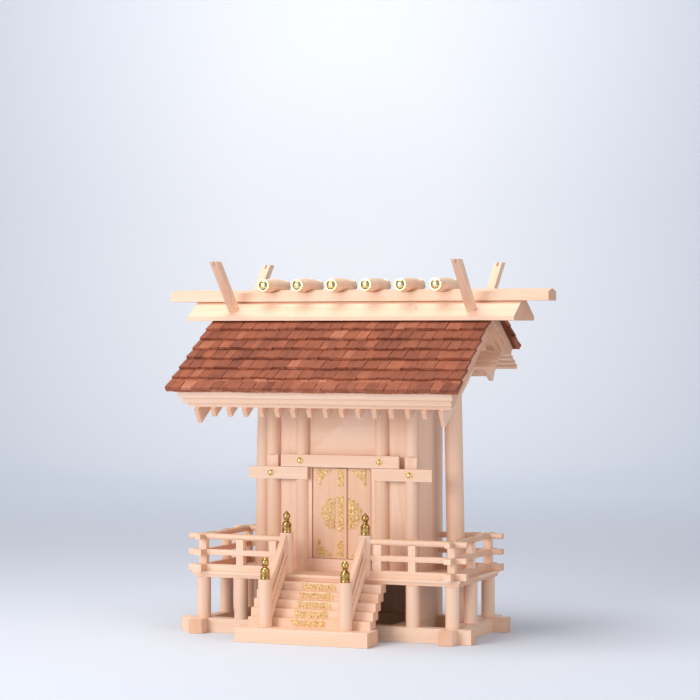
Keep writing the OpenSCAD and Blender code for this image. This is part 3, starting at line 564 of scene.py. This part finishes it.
# small nail heads on the ridge boards
nail = {
    "radius": 0.0013, "height": 0.0006, "x": (-0.092, 0.0925), "away": 0.027, "up": 0.0052, "sink": 0.0001,
}
nailProfile = [(0, 0), (1, 0), (1, 0.5), (0.6, 0.9), (0, 1)]
blank = lathe("nailHeads", [(r * nail["radius"], z * nail["height"]) for r, z in nailProfile], 16)
spots = []
for side in (-1, 1):
    lean = Matrix.Rotation(-side * shingle["pitch"], 4, "X")
    for x in nail["x"]:
        z = shingle["apex"] + nail["up"] - nail["away"] * math.tan(shingle["pitch"])
        spots.append(Matrix.Translation((x, ridgeY + side * nail["away"], z - nail["sink"])) @ lean)
nails = spread(blank, spots)
steel, tree, shader = newMaterial("steel_nail")
nailSpot = addNode(tree, "ShaderNodeTexCoord").outputs["Object"]
rust = addNode(tree, "ShaderNodeTexNoise", {"Vector": nailSpot, "Scale": 900})
steelTone = ramp(tree, rust.outputs[0], [(0.3, "#8d8d90"), (0.7, "#b9b9bd")])
tree.links.new(steelTone, shader.inputs["Base Color"])
shader.inputs["Metallic"].default_value = 1
shader.inputs["Roughness"].default_value = 0.35
place(nails, steel, "shrine")
print("stage: scrollwork")

# sweep behind and under the shrine
viewTurn = math.radians(21.9)
sweep = {"size": (14, 9.6, 1), "spot": (0.52, -1.3, -0.0002), "bend": 0.8, "steps": 16, "wall": 4}
# centre and falloff of a painted pool of light on the sweep
paintedLightPool = {"spot": (-1.6, 3.9, 0.95), "reach": 0.62}
bpy.ops.object.select_all(action="DESELECT")
bpy.ops.mesh.primitive_plane_add(size=1, location=(0, 0, 0))
floor = bpy.context.object
floor.name = "sweep"
floor.scale = sweep["size"]
floor.location = sweep["spot"]
floor.rotation_euler = (0, 0, viewTurn)
bpy.ops.object.transform_apply(location=True, rotation=True, scale=True)
bpy.ops.object.mode_set(mode="EDIT")
bpy.ops.mesh.select_all(action="DESELECT")
bpy.ops.object.mode_set(mode="OBJECT")
backward = Vector((-math.sin(viewTurn), math.cos(viewTurn), 0))
farEdge = [e for e in floor.data.edges
           if all(floor.data.vertices[v].co.dot(backward) > 1 for v in e.vertices)]
for edge in farEdge:
    edge.select = True
    for v in edge.vertices:
        floor.data.vertices[v].select = True
bpy.ops.object.mode_set(mode="EDIT")
for i in range(sweep["steps"]):
    a0 = math.pi / 2 * i / sweep["steps"]
    a1 = math.pi / 2 * (i + 1) / sweep["steps"]
    out = sweep["bend"] * (math.sin(a1) - math.sin(a0))
    up = sweep["bend"] * (math.cos(a0) - math.cos(a1))
    bpy.ops.mesh.extrude_region_move(TRANSFORM_OT_translate={"value": backward * out + Vector((0, 0, up))})
bpy.ops.mesh.extrude_region_move(TRANSFORM_OT_translate={"value": (0, 0, sweep["wall"])})
bpy.ops.object.mode_set(mode="OBJECT")
bpy.ops.object.shade_smooth()
paper, tree, shader = newMaterial("paper_sweep")
spot = addNode(tree, "ShaderNodeTexCoord").outputs["Object"]
# paper colour lighter near that spot and darker, bluer away from it: painted pool of light
away = addNode(tree, "ShaderNodeVectorMath", {0: spot, 1: paintedLightPool["spot"]}, operation="DISTANCE")
nearness = scaled(tree, away.outputs["Value"], paintedLightPool["reach"])
tree.links.new(ramp(tree, nearness, [(0.2, "#f8f9fc"), (1, "#dde3ee")]), shader.inputs["Base Color"])
shader.inputs["Roughness"].default_value = 0.9
floor.data.materials.append(paper)

world = bpy.data.worlds.new("studio")
bpy.context.scene.world = world
world.use_nodes = True
world.node_tree.nodes["Background"].inputs["Color"].default_value = linear("#f3f5fb")
world.node_tree.nodes["Background"].inputs["Strength"].default_value = 0.42


def lamp(name, spot, aim, size, power, colour="#ffffff"):
    data = bpy.data.lights.new(name, "AREA")
    data.shape = "SQUARE"
    data.size = size
    data.energy = power
    data.color = linear(colour)[:3]
    light = bpy.data.objects.new(name, data)
    bpy.context.collection.objects.link(light)
    light.location = spot
    light.visible_camera = False
    light.rotation_euler = (Vector(aim) - Vector(spot)).to_track_quat("-Z", "Y").to_euler()


lamp("overhead", (-0.35, -0.35, 1.9), (0, 0, 0.25), 1.3, 23, "#fffaf4")
lamp("frontLeft", (-1.0, -2.5, 0.95), (0, 0, 0.22), 1.2, 35, "#fffcf8")
lamp("rightFill", (2.3, -1.0, 0.9), (0, 0, 0.2), 1.4, 12)
lamp("backGlow", (-0.9, 2.3, 2.3), (-1.6, 4.0, 1.0), 1.2, 24)

view = {"lens": 123.3, "sensor": 36, "x": 1.1947, "y": -3.0022, "z": 0.3981, "tilt": 90 - 0.43}
cameraData = bpy.data.cameras.new("photoCamera")
cameraData.lens = view["lens"]
cameraData.sensor_width = view["sensor"]
camera = bpy.data.objects.new("photoCamera", cameraData)
bpy.context.collection.objects.link(camera)
camera.location = (view["x"], view["y"] + ridgeY, view["z"])
camera.rotation_euler = (math.radians(view["tilt"]), 0, viewTurn)
scene = bpy.context.scene
scene.camera = camera
scene.view_settings.view_transform = "Standard"

print("stage: done")
